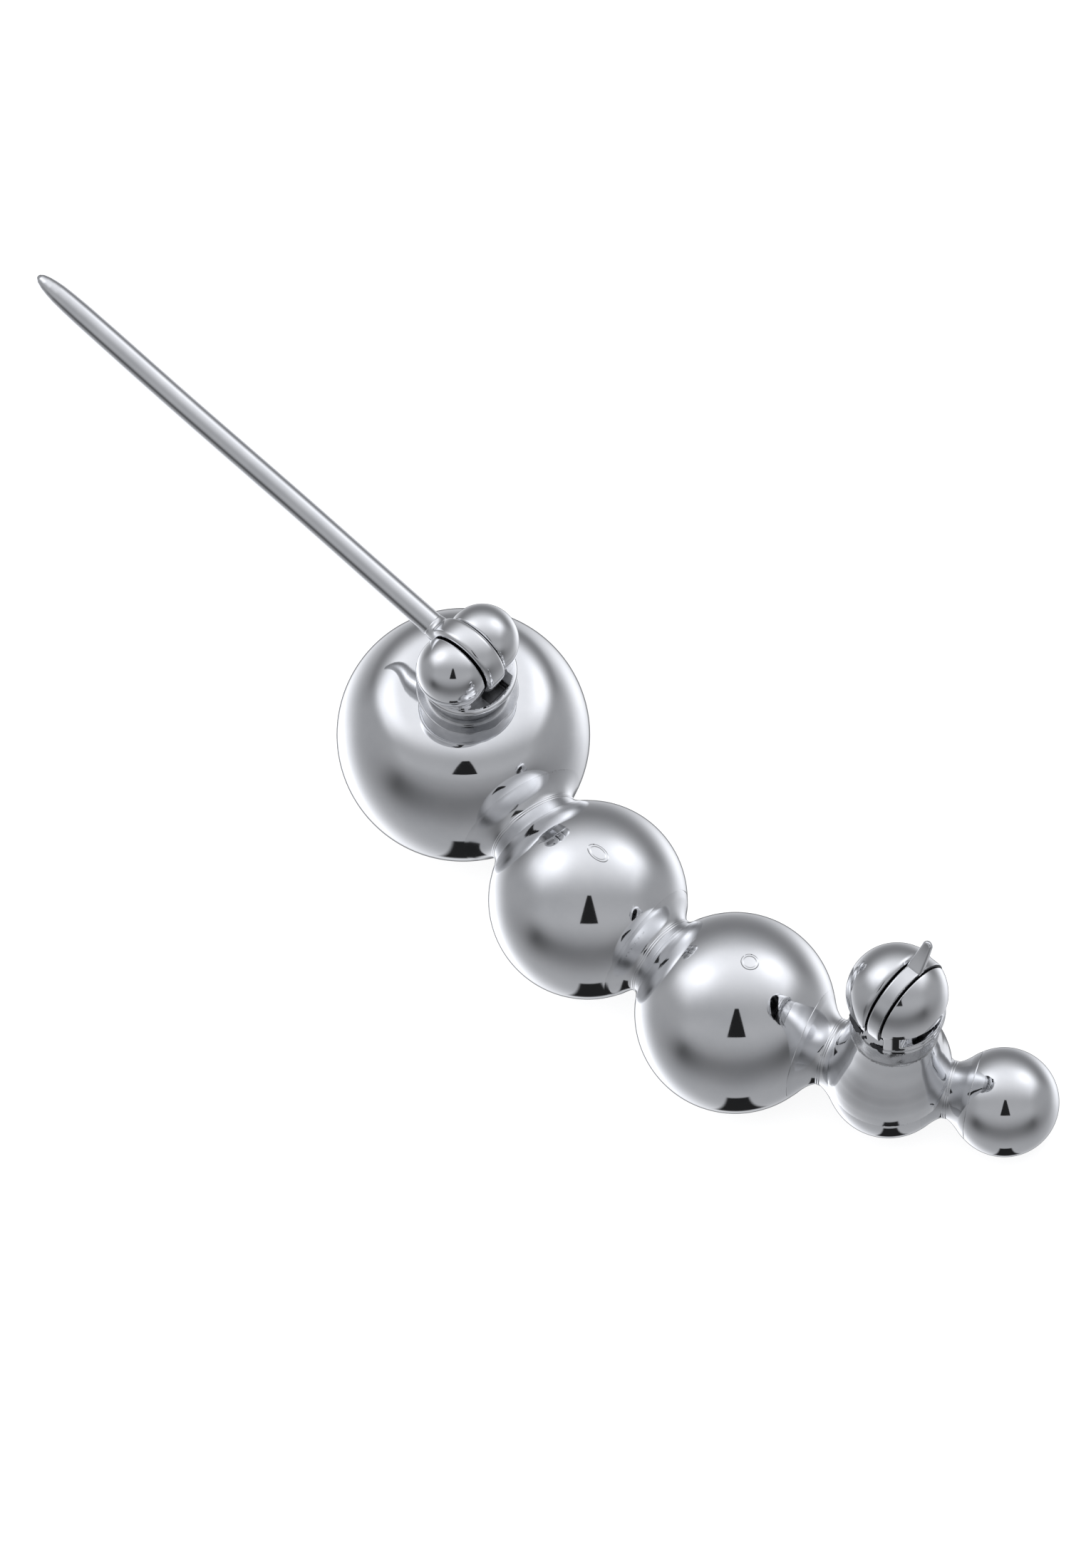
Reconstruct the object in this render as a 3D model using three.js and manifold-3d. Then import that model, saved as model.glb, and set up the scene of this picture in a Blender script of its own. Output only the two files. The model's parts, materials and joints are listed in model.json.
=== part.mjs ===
// Silver bar pin: five graduated hollow balls on a gentle arc, a ball-cheeked hinge
// with a long pin stem on the largest ball, and a domed rotary safety catch on a
// bell-shaped pedestal over the fourth ball. Millimetres, +Z up.
//
// The pin is designed in the "bar frame": X runs from the hinge to the catch along the
// closed stem, Z points out of the back of the bar, and the ball centres lie in Z = 0.
// The whole bar frame is then laid down on its three lowest balls, so that the exported
// group stands on Z = 0 the way the pin lies on a table, face down and back up.
import * as THREE from 'three';
import { mergeVertices } from 'three/addons/utils/BufferGeometryUtils.js';
import Module from 'manifold-3d';

const wasm = await Module();
wasm.setup();

// ---------------------------------------------------------------- driving dimensions
const GAP = 0.03;              // joint-line clearance between soldered pieces
const WALL = 0.6;              // ball shell thickness
const VENT_R = 0.45;           // vent bore through each neck

const BALLS = [                // bar-frame centre (x, y) and radius
  { name: 'ball_1_large', x: -0.172, y: -0.152, r: 6.37, seg: [26, 16] },
  { name: 'ball_2_medium', x: 10.61, y: -2.936, r: 5.0, seg: [24, 14] },
  { name: 'ball_3_medium', x: 20.28, y: -2.804, r: 5.05, seg: [24, 14] },
  { name: 'ball_4_small', x: 28.28, y: -0.36, r: 3.15, seg: [20, 12] },
  { name: 'ball_5_small', x: 33.57, y: 2.335, r: 2.76, seg: [18, 12] },
];
const NECK_WAIST_R = [2.56, 2.3, 1.9, 1.55];   // waist radius of the four necks
const NECK_DISC_T = 0.2;                       // collar thickness between the two filed flats
const SEAM_W = 0.23;                           // seam ring width
const SEAM_H = 0.07;                           // seam ring height over the waist

const AXIS_Z = 8.7;            // closed stem axis above the ball centres
const CATCH_X = 28.44;         // catch centre along the closed stem axis

const SEAT_Z = 5.05;           // flat pressed on ball 1 for the hinge boss
const SHOULDER_R = 2.4;        // rounding from that flat to the ball

const BOSS_R = 2.35;
const BOSS_TOP = 6.8;
const PLATE_R = 2.5;
const PLATE_T = 0.33;
const LOBE_R = 1.83;
const LOBE_Y = 1.12;
const SLOT_HALF = 0.69;        // half width of the hinge slot
const RIVET_R = 0.35;
const RIVET_HALF = 1.6;
const KNUCKLE_R = 2.1;
const KNUCKLE_HALF = 0.6;
const KNUCKLE_RECESS_R = 2.25;
const RECESS_X = 2.12;         // the slot under the knuckle runs on to here
const RECESS_Z = 6.55;         // floor of that run

const STEM_ROOT_R = 0.62;
const STEM_ROOT = 1.72;        // stem starts this far from the hinge axis
const STEM_LENGTH = 29.0;      // hinge axis to stem tip
const STEM_OPEN_DEG = 171.2;   // opened stem, measured from closed

const DOME_R = 2.56;
const CATCH_WALL_R = 2.42;
const CATCH_WALL_H = 1.5;
const ROTOR_X0 = 0.1;          // rotor faces, from the catch centre along X
const ROTOR_X1 = 0.9;
const ROTOR_SLOT_X0 = 0.03;
const ROTOR_SLOT_X1 = 0.97;
const ROTOR_R = 2.45;
const ROTOR_BORE_R = 0.75;
const THROAT_R = 0.7;
const MOUTH_DEG = 222;         // mouth direction in the Y-Z plane, from +Y towards +Z
const MOUTH_HALF = 0.65;
const CATCH_PLATE_T = 0.37;
const PEDESTAL_TOP_R = 2.15;
const LEVER_BASE_DEG = 71;     // where the lever leaves the rotor rim
const LEVER_LEAN_DEG = 48;     // direction the lever points in
const LEVER_W = 0.78;
const LEVER_T = 0.5;
const LEVER_L = 1.72;

// ------------------------------------------------------------------------- materials
const silver = (name, rough, colour = 0xc9cacc) => new THREE.MeshStandardMaterial({
  name, color: colour, roughness: rough, metalness: 1.0,
});
const polished = silver('polished_silver', 0.08);
const satin = silver('satin_silver', 0.22, 0xbfc0c3);
const solder = silver('solder_silver', 0.4, 0xaeb0b3);

// --------------------------------------------------------------------- solid helpers
function toSolid(geometry) {
  const g = geometry.clone();
  g.deleteAttribute('normal');
  g.deleteAttribute('uv');
  const m = mergeVertices(g, 1e-5);
  const p = Float32Array.from(m.attributes.position.array);
  const src = m.index ? m.index.array : [...Array(p.length / 3).keys()];
  const tris = [];
  let volume = 0;
  const at = (i) => new THREE.Vector3(p[3 * i], p[3 * i + 1], p[3 * i + 2]);
  for (let i = 0; i < src.length; i += 3) {
    const [a, b, c] = [src[i], src[i + 1], src[i + 2]];
    if (a === b || b === c || a === c) continue;
    tris.push(a, b, c);
    volume += at(a).dot(at(b).cross(at(c))) / 6;
  }
  if (volume < 0) for (let i = 0; i < tris.length; i += 3) [tris[i + 1], tris[i + 2]] = [tris[i + 2], tris[i + 1]];
  return new wasm.Manifold(new wasm.Mesh({ numProp: 3, vertProperties: p, triVerts: Uint32Array.from(tris) }));
}

function toGeometry(solid) {
  const mesh = solid.getMesh();
  const g = new THREE.BufferGeometry();
  g.setAttribute('position', new THREE.BufferAttribute(Float32Array.from(mesh.vertProperties), 3));
  g.setIndex(Array.from(mesh.triVerts));
  g.computeVertexNormals();
  return g;
}

// Revolved profile of [radius, height] pairs about +Z.
function lathe(profile, segments = 24) {
  const g = new THREE.LatheGeometry(profile.map(([r, h]) => new THREE.Vector2(r, h)), segments);
  g.rotateX(Math.PI / 2);
  return g;
}

function ring(profile, segments = 24) {
  return lathe([...profile, profile[0]], segments);
}

function ball(r, w, h) {
  const g = new THREE.SphereGeometry(r, w, h);
  g.rotateX(Math.PI / 2);
  return g;
}

// Ball with a flat on top at height z, rounded into the ball with radius s.
function seatedBall(r, z, s, w, h) {
  const phi = Math.acos((z - s) / (r - s));
  const [cr, cz] = [(r - s) * Math.sin(phi), (r - s) * Math.cos(phi)];
  const profile = [[0, -r]];
  for (let k = 1; k <= h; k += 1) {
    const t = Math.PI - ((Math.PI - phi) * k) / h;
    profile.push([r * Math.sin(t), r * Math.cos(t)]);
  }
  for (let k = 1; k <= 4; k += 1) {
    const t = phi * (1 - k / 4);
    profile.push([cr + s * Math.sin(t), cz + s * Math.cos(t)]);
  }
  profile.push([0, z]);
  return lathe(profile, w);
}

// Cylinder along one axis, centred on the origin.
function rod(r, length, axis, segments = 24) {
  const g = new THREE.CylinderGeometry(r, r, length, segments);
  if (axis === 'x') g.rotateZ(-Math.PI / 2);
  if (axis === 'z') g.rotateX(Math.PI / 2);
  return g;
}

function block(x0, x1, y0, y1, z0, z1) {
  const g = new THREE.BoxGeometry(x1 - x0, y1 - y0, z1 - z0);
  g.translate((x0 + x1) / 2, (y0 + y1) / 2, (z0 + z1) / 2);
  return g;
}

function place(parent, name, geometry, material, x = 0, y = 0, z = 0) {
  const mesh = new THREE.Mesh(geometry, material);
  mesh.name = name;
  mesh.position.set(x, y, z);
  parent.add(mesh);
  return mesh;
}

const deg = THREE.MathUtils.degToRad;

// ------------------------------------------------------------------ balls and necks
const bar = new THREE.Group();

// A neck is worked out in its own frame: h along the line of centres from ball A.
const necks = NECK_WAIST_R.map((waist, i) => {
  const a = BALLS[i];
  const b = BALLS[i + 1];
  const d = Math.hypot(b.x - a.x, b.y - a.y);
  const fit = (f) => {
    const ha = (d * d + (a.r + f) ** 2 - (b.r + f) ** 2) / (2 * d);
    return { f, ha, rc: Math.sqrt((a.r + f) ** 2 - ha * ha) };
  };
  let lo = 0.15;
  let hi = 4;
  for (let k = 0; k < 50; k += 1) {
    const mid = (lo + hi) / 2;
    const s = fit(mid);
    if (Number.isNaN(s.rc) || s.rc - s.f < waist) lo = mid; else hi = mid;
  }
  const { f, ha, rc } = fit((lo + hi) / 2);
  // radius of the flats filed on both balls, so that the collar's disc fits between them
  let flat = 0.8;
  const room = (q) => d - Math.sqrt(a.r * a.r - q * q) - Math.sqrt(b.r * b.r - q * q);
  while (room(flat) < NECK_DISC_T + 2 * GAP) flat += 0.005;
  return { a, b, d, f, ha, rc, waist, flat, angle: Math.atan2(b.y - a.y, b.x - a.x) };
});

// Turn a +Z solid so that its axis lies along a neck, starting at ball A's centre.
function alongNeck(geometry, neck) {
  const g = geometry.clone();
  g.rotateY(Math.PI / 2);
  g.rotateZ(neck.angle);
  g.translate(neck.a.x, neck.a.y, 0);
  return g;
}

const flatAt = (r, n) => Math.sqrt(r * r - n.flat * n.flat);

BALLS.forEach((b, i) => {
  const [outer, inner] = i === 0
    ? [seatedBall(b.r, SEAT_Z, SHOULDER_R, b.seg[0], 13),
      seatedBall(b.r - WALL, SEAT_Z - WALL, SHOULDER_R - WALL, 12, 6)]
    : [ball(b.r, ...b.seg), ball(b.r - WALL, 12, 8)];
  let s = toSolid(outer).subtract(toSolid(inner));
  necks.forEach((n) => {
    if (n.a !== b && n.b !== b) return;
    const sign = n.a === b ? 1 : -1;
    const cut = new THREE.CylinderGeometry(3, 3, 2, 16);
    cut.rotateX(Math.PI / 2);
    cut.translate(0, 0, flatAt(b.r, n) + 1);
    const vent = rod(VENT_R, b.r, 'z', 12);
    vent.translate(0, 0, b.r * 0.8);
    [cut, vent].forEach((g) => {
      g.rotateY((Math.PI / 2) * sign);
      g.rotateZ(n.angle);
      s = s.subtract(toSolid(g));
    });
  });
  place(bar, b.name, toGeometry(s), polished, b.x, b.y, 0);
});

// Soldered collar: fills the crevice between two balls with a concave fillet, and
// follows each ball's surface a joint line away from it.
necks.forEach((n, i) => {
  const hb = n.d - n.ha;
  const a0 = Math.atan2(-n.rc, -n.ha);         // fillet centre towards ball A
  const a1 = Math.atan2(-n.rc, hb);            // fillet centre towards ball B
  const along = (r, x) => Math.sqrt((r + GAP) ** 2 - x * x);
  const rimA = n.rc * (n.a.r / (n.a.r + n.f)) - 0.04;
  const rimB = n.rc * (n.b.r / (n.b.r + n.f)) - 0.04;
  const midA = (n.flat + rimA) / 2;
  const midB = (n.flat + rimB) / 2;
  const steps = 6;
  const profile = [
    [VENT_R, flatAt(n.a.r, n) + GAP], [n.flat, flatAt(n.a.r, n) + GAP],
    [midA, along(n.a.r, midA)], [rimA, along(n.a.r, rimA)],
  ];
  for (let k = 1; k < steps; k += 1) {
    const t = a0 + ((a1 - a0) * k) / steps;
    profile.push([n.rc + n.f * Math.sin(t), n.ha + n.f * Math.cos(t)]);
  }
  profile.push(
    [rimB, n.d - along(n.b.r, rimB)], [midB, n.d - along(n.b.r, midB)],
    [n.flat, n.d - flatAt(n.b.r, n) - GAP], [VENT_R, n.d - flatAt(n.b.r, n) - GAP],
  );
  place(bar, `neck_collar_${i + 1}_${i + 2}`, toGeometry(toSolid(alongNeck(ring(profile, 24), n))), polished);

  const w = n.waist + GAP;
  const seam = ring([
    [w, n.ha - SEAM_W / 2], [w + SEAM_H, n.ha - SEAM_W / 4],
    [w + SEAM_H, n.ha + SEAM_W / 4], [w, n.ha + SEAM_W / 2],
  ], 24);
  place(bar, `seam_ring_${i + 1}_${i + 2}`, toGeometry(toSolid(alongNeck(seam, n))), solder);
});

// ------------------------------------------------------------------------ the hinge
const hinge = new THREE.Group();
hinge.position.set(0, 0, AXIS_Z);
bar.add(hinge);
const zh = (z) => z - AXIS_Z;               // bar height to hinge-group height

const recess = toSolid(rod(KNUCKLE_RECESS_R, 2 * SLOT_HALF, 'y', 28))
  .add(toSolid(block(0, RECESS_X, -SLOT_HALF, SLOT_HALF, zh(RECESS_Z), 0)));

const s0 = SEAT_Z + GAP;
const boss = toSolid(lathe([
  [0, zh(s0)], [BOSS_R + 0.27, zh(s0)], [BOSS_R + 0.12, zh(s0 + 0.12)], [BOSS_R + 0.03, zh(s0 + 0.34)],
  [BOSS_R, zh(s0 + 0.62)], [BOSS_R, zh(BOSS_TOP)], [0, zh(BOSS_TOP)],
], 32)).subtract(recess);
place(hinge, 'hinge_boss', toGeometry(boss), polished);

const p0 = BOSS_TOP + GAP;
const plate = toSolid(lathe([
  [0, zh(p0)], [PLATE_R - 0.1, zh(p0)], [PLATE_R, zh(p0 + 0.1)], [PLATE_R, zh(p0 + PLATE_T - 0.1)],
  [PLATE_R - 0.1, zh(p0 + PLATE_T)], [0, zh(p0 + PLATE_T)],
], 32)).subtract(recess);
place(hinge, 'hinge_base_plate', toGeometry(plate), polished);

const plateTop = p0 + PLATE_T + GAP;
[['hinge_cheek_front', -1], ['hinge_cheek_back', 1]].forEach(([name, side]) => {
  const sphere = ball(LOBE_R, 26, 18);
  sphere.translate(0, side * LOBE_Y, 0);
  const foot = rod(LOBE_R - 0.1, -zh(plateTop), 'z', 24);
  foot.translate(0, side * LOBE_Y, zh(plateTop) / 2);
  const trim = rod(PLATE_R - 0.12, 4, 'z', 32);
  trim.translate(0, 0, -2);
  let s = toSolid(sphere).add(toSolid(foot).intersect(toSolid(trim)));
  const y0 = side > 0 ? SLOT_HALF : -4;
  const y1 = side > 0 ? 4 : -SLOT_HALF;
  s = s.intersect(toSolid(block(-4, 4, y0, y1, zh(plateTop), 4)));
  s = s.subtract(toSolid(rod(RIVET_R + GAP, 2 * (RIVET_HALF + GAP), 'y', 20)));
  place(hinge, name, toGeometry(s), polished);
});
place(hinge, 'hinge_rivet', toGeometry(toSolid(rod(RIVET_R, 2 * RIVET_HALF, 'y', 20))), satin);

// Pin assembly, drawn closed along +X and turned open about the rivet.
const pin = new THREE.Group();
pin.rotation.y = -deg(STEM_OPEN_DEG);
hinge.add(pin);

const kr = KNUCKLE_R;
const kh = KNUCKLE_HALF;
const knuckleRing = ring([
  [RIVET_R + 0.05, -kh], [kr - 0.26, -kh], [kr - 0.08, -kh + 0.12], [kr, -kh + 0.34],
  [kr, kh - 0.34], [kr - 0.08, kh - 0.12], [kr - 0.26, kh], [RIVET_R + 0.05, kh],
], 32);
knuckleRing.rotateX(Math.PI / 2);
const socket = rod(STEM_ROOT_R + GAP, 2, 'x', 16);
socket.translate(STEM_ROOT - GAP + 1, 0, 0);
place(pin, 'pin_knuckle', toGeometry(toSolid(knuckleRing).subtract(toSolid(socket))), polished);

const stemProfile = [
  [0, STEM_ROOT], [STEM_ROOT_R - 0.04, STEM_ROOT], [STEM_ROOT_R, STEM_ROOT + 0.06],
  [0.605, 12], [0.59, STEM_LENGTH - 3.0], [0.565, STEM_LENGTH - 2.0], [0.53, STEM_LENGTH - 1.4],
  [0.47, STEM_LENGTH - 0.95], [0.39, STEM_LENGTH - 0.55], [0.27, STEM_LENGTH - 0.22],
  [0.13, STEM_LENGTH - 0.05], [0, STEM_LENGTH],
];
const stem = lathe(stemProfile, 16);
stem.rotateY(Math.PI / 2);
place(pin, 'pin_stem', toGeometry(toSolid(stem)), polished);

// ------------------------------------------------------------------------ the catch
const safety = new THREE.Group();
safety.position.set(CATCH_X, 0, AXIS_Z);
bar.add(safety);

const slotDisc = (() => {                   // room the rotor turns in
  const g = rod(ROTOR_R + 0.1, ROTOR_SLOT_X1 - ROTOR_SLOT_X0, 'x', 32);
  g.translate((ROTOR_SLOT_X0 + ROTOR_SLOT_X1) / 2, 0, 0);
  return toSolid(g);
})();
const mouthBlock = (x0, x1, half) => {
  const g = block(x0, x1, 0, 5, -half, half);
  g.rotateX(deg(MOUTH_DEG));
  return toSolid(g);
};
const throat = (x0, x1, r) => {
  const g = rod(r, x1 - x0, 'x', 20);
  g.translate((x0 + x1) / 2, 0, 0);
  return toSolid(g);
};

const domeBody = (() => {
  const upper = toSolid(ball(DOME_R, 32, 22)).intersect(toSolid(block(-4, 4, -4, 4, -0.08, 4)));
  const wall = toSolid(rod(CATCH_WALL_R, CATCH_WALL_H, 'z', 32)
    .translate(0, 0, -CATCH_WALL_H / 2));
  return upper.add(wall);
})();

const leftCheek = domeBody
  .intersect(toSolid(block(-4, ROTOR_SLOT_X0, -4, 4, -4, 4)))
  .subtract(mouthBlock(-4, 1, MOUTH_HALF))
  .subtract(throat(-4, 1, THROAT_R));
place(safety, 'catch_cheek_inner', toGeometry(leftCheek), polished);

const rightCheek = domeBody
  .intersect(toSolid(block(ROTOR_SLOT_X1, 4, -4, 4, -4, 4)))
  .subtract(throat(0.5, 1.85, THROAT_R))
  .subtract(toSolid(block(1.85, 4, -1.9, 1.9, -1.32, -0.22)));
place(safety, 'catch_cheek_outer', toGeometry(rightCheek), polished);

const plateZ = -CATCH_WALL_H - GAP;
const catchPlate = toSolid(lathe([
  [0, plateZ - CATCH_PLATE_T], [CATCH_WALL_R - 0.06, plateZ - CATCH_PLATE_T],
  [CATCH_WALL_R + 0.02, plateZ - CATCH_PLATE_T / 2], [CATCH_WALL_R - 0.06, plateZ], [0, plateZ],
], 32)).subtract(slotDisc).subtract(mouthBlock(-4, ROTOR_SLOT_X1, MOUTH_HALF));
// a plate cut by the rotor slot on its deep side stays one piece through its rim
place(safety, 'catch_base_plate', toGeometry(catchPlate), satin);

const pedTop = plateZ - CATCH_PLATE_T - GAP;
const b4 = BALLS[3];
const bellGeometry = lathe([
  [0, -8.4], [3.12, -8.4], [3.17, -7.9], [3.12, -7.4], [2.94, -6.6], [2.73, -5.9], [2.55, -5.2],
  [2.4, -4.4], [2.28, -3.75], [2.19, -3.1], [PEDESTAL_TOP_R, -2.5], [PEDESTAL_TOP_R, pedTop], [0, pedTop],
], 32);
{
  // the bell leans slightly so that its foot stands centred on ball 4
  const pos = bellGeometry.attributes.position;
  for (let i = 0; i < pos.count; i += 1) {
    const t = THREE.MathUtils.clamp((pedTop - pos.getZ(i)) / (pedTop + 8.4), 0, 1);
    pos.setX(i, pos.getX(i) + t * (b4.x - CATCH_X));
    pos.setY(i, pos.getY(i) + t * b4.y);
  }
}
const ball4 = (() => {
  const g = ball(b4.r, ...b4.seg);
  const k = (b4.r + GAP) / b4.r;
  g.scale(k, k, k);
  g.translate(b4.x - CATCH_X, b4.y, -AXIS_Z);
  return toSolid(g);
})();
let bell = toSolid(bellGeometry)
  .subtract(ball4)
  .subtract(toSolid(block(-5, 5, -5, 5, -9, -7.75)))
  .subtract(slotDisc)
  .subtract(mouthBlock(-4, ROTOR_SLOT_X1, MOUTH_HALF));
// room for the two neck collars and their seam rings beside ball 4
[2, 3].forEach((i) => {
  const n = necks[i];
  const room = alongNeck(rod(n.waist + SEAM_H + 5 * GAP, n.d * 0.7, 'z', 28), n);
  const shift = new THREE.Vector3(Math.cos(n.angle), Math.sin(n.angle), 0).multiplyScalar(n.ha);
  room.translate(shift.x - CATCH_X, shift.y, -AXIS_Z);
  bell = bell.subtract(toSolid(room));
});
place(safety, 'catch_pedestal', toGeometry(bell), polished);

const bead = toSolid(ring([
  [PEDESTAL_TOP_R + GAP, pedTop - 0.34], [PEDESTAL_TOP_R + 0.12, pedTop - 0.26],
  [PEDESTAL_TOP_R + 0.21, pedTop - 0.1], [PEDESTAL_TOP_R + 0.21, pedTop],
  [PEDESTAL_TOP_R + GAP, pedTop],
], 32)).subtract(mouthBlock(-4, ROTOR_SLOT_X1, MOUTH_HALF));
place(safety, 'pedestal_solder_bead', toGeometry(bead), solder);

// Rotor with its lever, at rest with its mouth in line with the housing's mouth.
const rotorGroup = new THREE.Group();
safety.add(rotorGroup);
const rotorDisc = (() => {
  const mid = (ROTOR_X0 + ROTOR_X1) / 2;
  const half = (ROTOR_X1 - ROTOR_X0) / 2;
  const g = lathe([
    [0, -half], [ROTOR_R - 0.07, -half], [ROTOR_R, -half + 0.08], [ROTOR_R, half - 0.08],
    [ROTOR_R - 0.07, half], [0, half],
  ], 36);
  g.rotateY(Math.PI / 2);
  g.translate(mid, 0, 0);
  return toSolid(g);
})();
const rotor = rotorDisc
  .subtract(throat(-1, 2, ROTOR_BORE_R))
  .subtract(mouthBlock(-1, 2, MOUTH_HALF));
place(rotorGroup, 'catch_rotor', toGeometry(rotor), satin);

const leverShape = new THREE.Shape();
{
  const h = LEVER_W / 2;
  leverShape.moveTo(-h, 0);
  leverShape.lineTo(h, 0);
  leverShape.lineTo(h, LEVER_L + 0.4 - h);
  leverShape.absarc(0, LEVER_L + 0.4 - h, h, 0, Math.PI, false);
  leverShape.closePath();
}
const leverGeometry = new THREE.ExtrudeGeometry(leverShape, {
  depth: LEVER_T, bevelEnabled: false, curveSegments: 14,
});
// shape x -> X, shape y -> pointing direction, depth -> thickness
leverGeometry.translate(0, -0.4, -LEVER_T / 2);
leverGeometry.applyMatrix4(new THREE.Matrix4().makeBasis(
  new THREE.Vector3(1, 0, 0), new THREE.Vector3(0, 1, 0), new THREE.Vector3(0, 0, 1),
));
leverGeometry.rotateX(deg(LEVER_LEAN_DEG));
leverGeometry.translate(
  (ROTOR_X0 + ROTOR_X1) / 2,
  Math.cos(deg(LEVER_BASE_DEG)) * ROTOR_R,
  Math.sin(deg(LEVER_BASE_DEG)) * ROTOR_R,
);
const rotorKeep = (() => {
  const g = rod(ROTOR_R + GAP, 2, 'x', 36);
  g.translate(0.5, 0, 0);
  return toSolid(g);
})();
place(rotorGroup, 'catch_lever', toGeometry(toSolid(leverGeometry).subtract(rotorKeep)), polished);

// ---------------------------------------------------- lay the pin down on its balls
// The table plane touches balls 1, 3 and 5 from below; its normal n solves
// n . (c3 - c1) = r3 - r1 and n . (c5 - c1) = r5 - r1 with |n| = 1.
const [b1, , b3, , b5] = BALLS;
const det = (b3.x - b1.x) * (b5.y - b1.y) - (b3.y - b1.y) * (b5.x - b1.x);
const nx = ((b3.r - b1.r) * (b5.y - b1.y) - (b3.y - b1.y) * (b5.r - b1.r)) / det;
const ny = ((b3.x - b1.x) * (b5.r - b1.r) - (b3.r - b1.r) * (b5.x - b1.x)) / det;
const normal = new THREE.Vector3(nx, ny, Math.sqrt(1 - nx * nx - ny * ny));
bar.quaternion.setFromUnitVectors(normal, new THREE.Vector3(0, 0, 1));

const group = new THREE.Group();
group.add(bar);
group.updateMatrixWorld(true);
const lowest = b1.r - normal.x * b1.x - normal.y * b1.y;
const ORIGIN_SHIFT = [4.41, -0.9015];           // bounding-box centre of the laid-down pin
bar.position.set(-ORIGIN_SHIFT[0], -ORIGIN_SHIFT[1], lowest);
group.updateMatrixWorld(true);

export default group;
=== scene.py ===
import json
import math

import bpy
import numpy as np
from mathutils import Matrix, Vector


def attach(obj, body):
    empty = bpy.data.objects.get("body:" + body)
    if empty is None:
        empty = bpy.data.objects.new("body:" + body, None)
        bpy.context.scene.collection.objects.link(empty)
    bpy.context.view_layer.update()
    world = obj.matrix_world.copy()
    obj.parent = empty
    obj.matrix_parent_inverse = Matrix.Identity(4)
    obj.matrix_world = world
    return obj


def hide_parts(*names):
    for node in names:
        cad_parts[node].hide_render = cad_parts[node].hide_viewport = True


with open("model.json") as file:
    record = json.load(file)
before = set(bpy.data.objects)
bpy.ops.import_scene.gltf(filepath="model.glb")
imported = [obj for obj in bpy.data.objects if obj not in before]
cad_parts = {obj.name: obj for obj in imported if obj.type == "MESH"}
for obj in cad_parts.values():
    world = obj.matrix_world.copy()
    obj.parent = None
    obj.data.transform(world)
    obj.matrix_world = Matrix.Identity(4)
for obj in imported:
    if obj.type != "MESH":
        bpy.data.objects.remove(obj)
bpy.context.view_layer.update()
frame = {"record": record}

# ------------------------------------------------------------------ the bar frame
# X: hinge to catch along the closed stem, Z: out of the pin's back, ball centres in Z = 0.
# Millimetres here; the record's two joints say where that frame lies in the row frame.
AXIS_Z = 8.7
CATCH_X = 28.44
joints = {j["name"]: j for j in frame["record"]["behaviour"]["joints"]}
ex = np.array(joints["catch_turn"]["axis"], float)
ex /= np.linalg.norm(ex)
ey = np.array(joints["stem_hinge"]["axis"], float)
ey -= ex * ey.dot(ex)
ey /= np.linalg.norm(ey)
ez = np.cross(ex, ey)
ROT = np.column_stack([ex, ey, ez])
ORG = np.array(joints["stem_hinge"]["pos_m"], float) - ez * AXIS_Z * 1e-3


def to_row(p):
    return (np.asarray(p, float) * 1e-3) @ ROT.T + ORG


def row_dir(v):
    return ROT @ np.asarray(v, float)


BALLS = [(-0.172, -0.152, 6.37), (10.61, -2.936, 5.0), (20.28, -2.804, 5.05), (28.28, -0.36, 3.15), (33.57, 2.335, 2.76)]
BALL_NODES = ["ball_1_large", "ball_2_medium", "ball_3_medium", "ball_4_small", "ball_5_small"]
SEAMS = [2.44, 2.16, 1.74, 1.44]             # radius of the four seams
FLANKS = [(3.35, 3.15), (3.0, 2.95), (2.65, 2.30), (2.15, 2.0)]   # radii where the flanks leave the balls

# ------------------------------------------------------------------ camera and stage
# view directions in the bar frame: towards the camera, image right, image up
CAM_V = np.array([0.3009, -0.3400, 0.8910])
CAM_V /= np.linalg.norm(CAM_V)
CAM_R = np.array([0.7489, 0.6627, 0.0])
CAM_R -= CAM_V * CAM_R.dot(CAM_V)
CAM_R /= np.linalg.norm(CAM_R)
CAM_U = np.cross(CAM_V, CAM_R)
PX = 28.1                                   # picture pixels per millimetre
DIST = 2000.0                               # a long lens, within the range that other views can clip to
target = np.array([BALLS[0][0], BALLS[0][1], 0.0]) + CAM_R * (112.0 / PX) - CAM_U * (69.0 / PX)
cam_data = bpy.data.cameras.new("camera")
cam = bpy.data.objects.new("camera", cam_data)
bpy.context.scene.collection.objects.link(cam)
bpy.context.scene.camera = cam
cam_data.sensor_width = 36.0
cam_data.lens = 18.0 / ((2200 / 2 / PX) / DIST)
cam_data.clip_start, cam_data.clip_end = 0.01, 20.0
vR, vU, vV = row_dir(CAM_R), row_dir(CAM_U), row_dir(CAM_V)
m = Matrix.Identity(4)
for i in range(3):
    m[i][0], m[i][1], m[i][2] = vR[i], vU[i], vV[i]
loc = to_row(target + CAM_V * DIST)
m[0][3], m[1][3], m[2][3] = loc
cam.matrix_world = m


# ------------------------------------------------------------------ materials
def node(nt, kind, **props):
    n = nt.nodes.new(kind)
    for k, v in props.items():
        setattr(n, k, v)
    return n


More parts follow.
